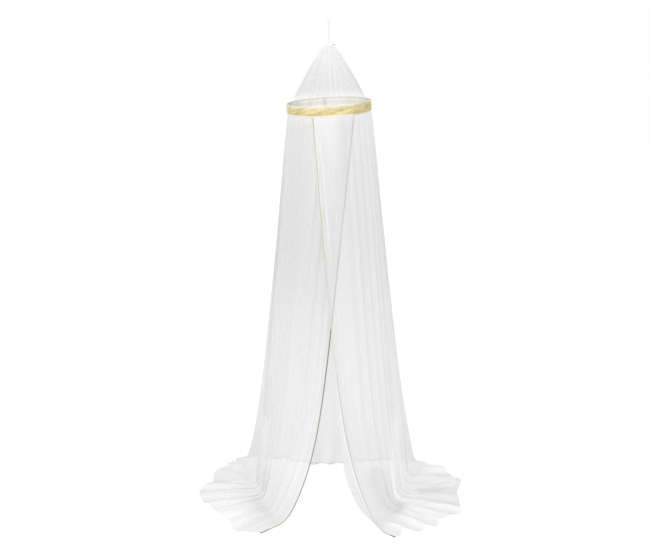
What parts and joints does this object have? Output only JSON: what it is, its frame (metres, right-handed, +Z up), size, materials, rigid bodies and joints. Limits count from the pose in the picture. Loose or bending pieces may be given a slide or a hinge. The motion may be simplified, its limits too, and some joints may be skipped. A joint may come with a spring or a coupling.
{
  "type": "bed canopy with hoop",
  "caption": "Sheer net bed canopy: a gathered cap and a long wrap-over skirt on a banded hoop, hung from a cord loop, its front drawn open and its hem lying on the floor.",
  "frame": {"origin": "top of the cord loop, where a ceiling hook carries the canopy", "axes": "+Z up along the loop; the front, where the skirt opens, faces -Y; +X is to the right seen from the front. The floor that the hem lies on is 2.68 m below the origin"},
  "size_m": [1.5344, 1.0569, 2.68],
  "materials": {
    "net": "sheer fine white net",
    "gold_ribbon": "crinkled pale gold ribbon with a soft metallic sheen",
    "white_plastic": "smooth white strip",
    "white_cord": "twisted white cord",
    "grey_cord": "thin grey cord"
  },
  "bodies": {
    "root": {"hanging_loop": "white_cord", "crown_tie": "grey_cord", "cap": "net", "hoop": "white_plastic", "band": "gold_ribbon", "skirt": "net", "left_binding": "gold_ribbon", "right_binding": "gold_ribbon"}
  },
  "joints": []
}
